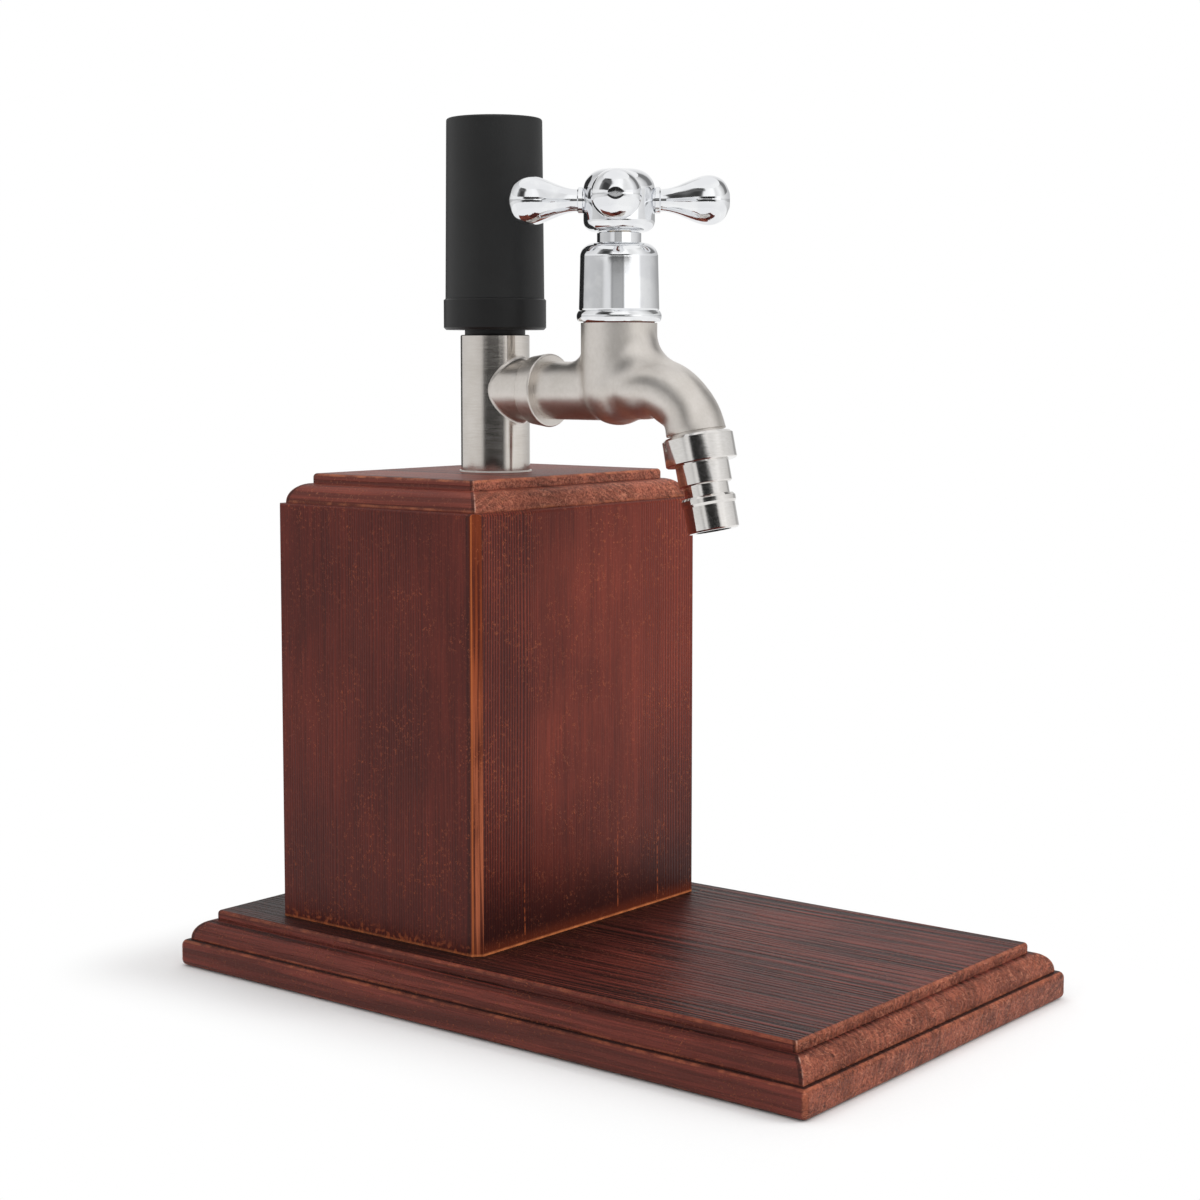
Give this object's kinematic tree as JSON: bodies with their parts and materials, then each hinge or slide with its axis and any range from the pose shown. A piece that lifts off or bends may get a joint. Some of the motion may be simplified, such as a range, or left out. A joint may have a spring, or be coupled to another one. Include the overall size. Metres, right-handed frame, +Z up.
{
  "type": "drink dispenser",
  "caption": "Table-top drink dispenser: moulded wooden base and box, steel column with a rubber bottle sleeve, and a bib tap with a cross handle and hose nozzle.",
  "frame": {"origin": "middle of the base board's underside, on the surface it stands on", "axes": "+Z up; -Y is the front, where the tap points and the glass stands; +X to the right of someone facing the tap's side from the front"},
  "size_m": [0.163, 0.272, 0.3055],
  "materials": {
    "stained_wood": "dark red-brown stain, satin, with edges rubbed through",
    "bare_wood": "bare sawn pine",
    "brushed_steel": "satin stainless steel",
    "zinc_steel": "zinc-plated",
    "chrome": "polished chrome plate",
    "brass": "turned brass",
    "black_rubber": "matt black rubber",
    "black_plastic": "fine matt",
    "clear_washer": "thin translucent plastic",
    "fibre": "red fibre"
  },
  "bodies": {
    "stand": {"base_board": "stained_wood", "box_front_panel": "stained_wood", "box_back_panel": "stained_wood", "box_left_panel": "stained_wood", "box_right_panel": "stained_wood", "box_top_board": "stained_wood", "corner_blocks": "bare_wood", "base_screws": "zinc_steel", "foot_washer": "clear_washer", "column_pipe": "brushed_steel", "branch_socket": "brushed_steel", "weld_bead": "brushed_steel", "column_plug": "brushed_steel", "fixing_washer": "zinc_steel", "fixing_nut": "zinc_steel", "sleeve_cup": "black_plastic", "bottle_sleeve": "black_rubber", "spigot_o_rings": "black_rubber", "inlet_washer": "black_rubber", "tap_body": "brushed_steel", "headwork": "brass", "headwork_gasket": "fibre", "bonnet_cover": "chrome", "gland_nut": "chrome", "nozzle_nut": "brushed_steel", "nozzle_washer": "black_rubber", "nozzle_tail": "brushed_steel"},
    "handle": {"cross_handle": "chrome", "handle_screw": "zinc_steel", "handle_cap": "chrome", "spindle": "brass", "spindle_o_rings": "black_rubber"},
    "valve": {"valve_carrier": "brass", "valve_washer": "black_rubber"}
  },
  "joints": [
    {"name": "handle_turn", "type": "hinge", "parent": "stand", "child": "handle", "pos_m": [0, -0.0033, 0.274], "axis": [0, 0, 1], "range_deg": [0, 900]},
    {"name": "valve_lift", "type": "slide", "parent": "stand", "child": "valve", "axis": [0, 0, 1], "range_m": [0, 0.00438]}
  ],
  "couplings": [
    {"joint": "valve_lift", "follows": "handle_turn", "m_per_rad": 0.00027852}
  ]
}
